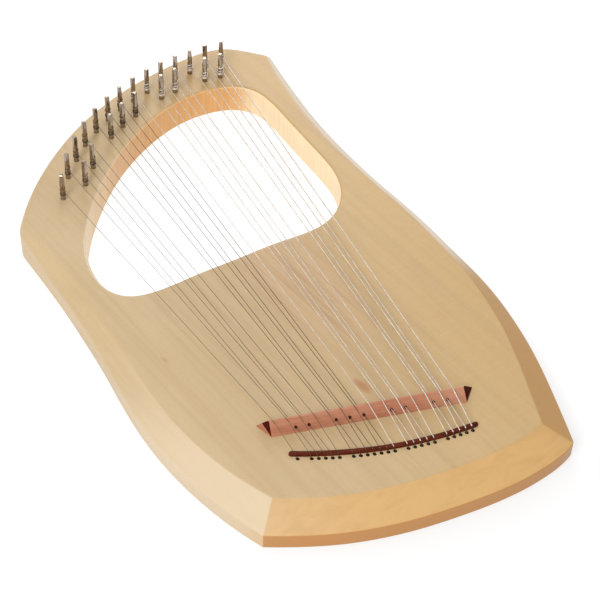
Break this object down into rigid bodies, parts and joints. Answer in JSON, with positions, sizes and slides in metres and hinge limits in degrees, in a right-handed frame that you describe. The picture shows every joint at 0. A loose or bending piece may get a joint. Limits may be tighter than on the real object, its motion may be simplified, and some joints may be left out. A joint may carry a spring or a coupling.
{
  "type": "chromatic lyre",
  "caption": "Flat wooden chromatic lyre lying on its back: asymmetric body with string window, bevelled sound box, slanted bridge, curved tail rib, steel strings and turning pins.",
  "frame": {"origin": "middle of the outline, on the flat back", "axes": "+Z from the back to the strings, +Y from the tail towards the tuning pins, +X towards the bass side"},
  "size_m": [0.3572, 0.6332, 0.062],
  "materials": {
    "maple": "satin oiled",
    "beech": "raw",
    "spruce": "raw",
    "cherry": "satin oiled",
    "rosewood": "satin",
    "brass": "satin",
    "nickel": "polished",
    "plain_steel": "bright",
    "wound_steel": "bright wound"
  },
  "bodies": {
    "lyre_body": {"pin_block": "maple", "treble_arm": "maple", "bass_arm": "maple", "window_rail": "maple", "soundboard": "maple", "back_plate": "maple", "treble_rim": "maple", "tail_rim": "maple", "bass_rim": "maple", "tail_block": "beech", "soundboard_bars": "spruce", "bridge": "cherry", "string_rib": "rosewood", "string_ball_ends": "brass", "string_F5": "plain_steel", "string_E5": "plain_steel", "string_D5": "plain_steel", "string_C5": "plain_steel", "string_B4": "plain_steel", "string_A4": "plain_steel", "string_G4": "plain_steel", "string_F4": "wound_steel", "string_E4": "wound_steel", "string_D4": "wound_steel", "string_C4": "wound_steel", "string_B3": "wound_steel", "string_A3": "wound_steel", "string_G3": "wound_steel", "string_Ds5": "plain_steel", "string_Cs5": "plain_steel", "string_As4": "plain_steel", "string_Gs4": "plain_steel", "string_Fs4": "plain_steel", "string_Ds4": "wound_steel", "string_Cs4": "wound_steel", "string_As3": "wound_steel", "string_Gs3": "wound_steel"},
    "pin_F5": {"tuning_pin_F5": "nickel"},
    "pin_E5": {"tuning_pin_E5": "nickel"},
    "pin_D5": {"tuning_pin_D5": "nickel"},
    "pin_C5": {"tuning_pin_C5": "nickel"},
    "pin_B4": {"tuning_pin_B4": "nickel"},
    "pin_A4": {"tuning_pin_A4": "nickel"},
    "pin_G4": {"tuning_pin_G4": "nickel"},
    "pin_F4": {"tuning_pin_F4": "nickel"},
    "pin_E4": {"tuning_pin_E4": "nickel"},
    "pin_D4": {"tuning_pin_D4": "nickel"},
    "pin_C4": {"tuning_pin_C4": "nickel"},
    "pin_B3": {"tuning_pin_B3": "nickel"},
    "pin_A3": {"tuning_pin_A3": "nickel"},
    "pin_G3": {"tuning_pin_G3": "nickel"},
    "pin_Ds5": {"tuning_pin_Ds5": "nickel"},
    "pin_Cs5": {"tuning_pin_Cs5": "nickel"},
    "pin_As4": {"tuning_pin_As4": "nickel"},
    "pin_Gs4": {"tuning_pin_Gs4": "nickel"},
    "pin_Fs4": {"tuning_pin_Fs4": "nickel"},
    "pin_Ds4": {"tuning_pin_Ds4": "nickel"},
    "pin_Cs4": {"tuning_pin_Cs4": "nickel"},
    "pin_As3": {"tuning_pin_As3": "nickel"},
    "pin_Gs3": {"tuning_pin_Gs3": "nickel"}
  },
  "joints": [
    {"name": "pin_turn_F5", "type": "hinge", "parent": "lyre_body", "child": "pin_F5", "pos_m": [-0.1194, 0.17316, 0.032], "axis": [0, 0, 1], "continuous": true},
    {"name": "pin_turn_E5", "type": "hinge", "parent": "lyre_body", "child": "pin_E5", "pos_m": [-0.1023, 0.19856, 0.032], "axis": [0, 0, 1], "continuous": true},
    {"name": "pin_turn_D5", "type": "hinge", "parent": "lyre_body", "child": "pin_D5", "pos_m": [-0.0842, 0.21816, 0.032], "axis": [0, 0, 1], "continuous": true},
    {"name": "pin_turn_C5", "type": "hinge", "parent": "lyre_body", "child": "pin_C5", "pos_m": [-0.0664, 0.23466, 0.032], "axis": [0, 0, 1], "continuous": true},
    {"name": "pin_turn_B4", "type": "hinge", "parent": "lyre_body", "child": "pin_B4", "pos_m": [-0.0476, 0.24866, 0.032], "axis": [0, 0, 1], "continuous": true},
    {"name": "pin_turn_A4", "type": "hinge", "parent": "lyre_body", "child": "pin_A4", "pos_m": [-0.0288, 0.25966, 0.032], "axis": [0, 0, 1], "continuous": true},
    {"name": "pin_turn_G4", "type": "hinge", "parent": "lyre_body", "child": "pin_G4", "pos_m": [-0.0108, 0.26826, 0.032], "axis": [0, 0, 1], "continuous": true},
    {"name": "pin_turn_F4", "type": "hinge", "parent": "lyre_body", "child": "pin_F4", "pos_m": [0.0078, 0.27526, 0.032], "axis": [0, 0, 1], "continuous": true},
    {"name": "pin_turn_E4", "type": "hinge", "parent": "lyre_body", "child": "pin_E4", "pos_m": [0.0264, 0.28096, 0.032], "axis": [0, 0, 1], "continuous": true},
    {"name": "pin_turn_D4", "type": "hinge", "parent": "lyre_body", "child": "pin_D4", "pos_m": [0.0448, 0.28506, 0.032], "axis": [0, 0, 1], "continuous": true},
    {"name": "pin_turn_C4", "type": "hinge", "parent": "lyre_body", "child": "pin_C4", "pos_m": [0.063, 0.28746, 0.032], "axis": [0, 0, 1], "continuous": true},
    {"name": "pin_turn_B3", "type": "hinge", "parent": "lyre_body", "child": "pin_B3", "pos_m": [0.0809, 0.28866, 0.032], "axis": [0, 0, 1], "continuous": true},
    {"name": "pin_turn_A3", "type": "hinge", "parent": "lyre_body", "child": "pin_A3", "pos_m": [0.0988, 0.28826, 0.032], "axis": [0, 0, 1], "continuous": true},
    {"name": "pin_turn_G3", "type": "hinge", "parent": "lyre_body", "child": "pin_G3", "pos_m": [0.117, 0.28626, 0.032], "axis": [0, 0, 1], "continuous": true},
    {"name": "pin_turn_Ds5", "type": "hinge", "parent": "lyre_body", "child": "pin_Ds5", "pos_m": [-0.092, 0.18086, 0.032], "axis": [0, 0, 1], "continuous": true},
    {"name": "pin_turn_Cs5", "type": "hinge", "parent": "lyre_body", "child": "pin_Cs5", "pos_m": [-0.0744, 0.20046, 0.032], "axis": [0, 0, 1], "continuous": true},
    {"name": "pin_turn_As4", "type": "hinge", "parent": "lyre_body", "child": "pin_As4", "pos_m": [-0.0385, 0.23306, 0.032], "axis": [0, 0, 1], "continuous": true},
    {"name": "pin_turn_Gs4", "type": "hinge", "parent": "lyre_body", "child": "pin_Gs4", "pos_m": [-0.0204, 0.24326, 0.032], "axis": [0, 0, 1], "continuous": true},
    {"name": "pin_turn_Fs4", "type": "hinge", "parent": "lyre_body", "child": "pin_Fs4", "pos_m": [-0.0014, 0.25226, 0.032], "axis": [0, 0, 1], "continuous": true},
    {"name": "pin_turn_Ds4", "type": "hinge", "parent": "lyre_body", "child": "pin_Ds4", "pos_m": [0.0352, 0.26526, 0.032], "axis": [0, 0, 1], "continuous": true},
    {"name": "pin_turn_Cs4", "type": "hinge", "parent": "lyre_body", "child": "pin_Cs4", "pos_m": [0.0524, 0.26806, 0.032], "axis": [0, 0, 1], "continuous": true},
    {"name": "pin_turn_As3", "type": "hinge", "parent": "lyre_body", "child": "pin_As3", "pos_m": [0.0885, 0.26966, 0.032], "axis": [0, 0, 1], "continuous": true},
    {"name": "pin_turn_Gs3", "type": "hinge", "parent": "lyre_body", "child": "pin_Gs3", "pos_m": [0.106, 0.26766, 0.032], "axis": [0, 0, 1], "continuous": true}
  ]
}
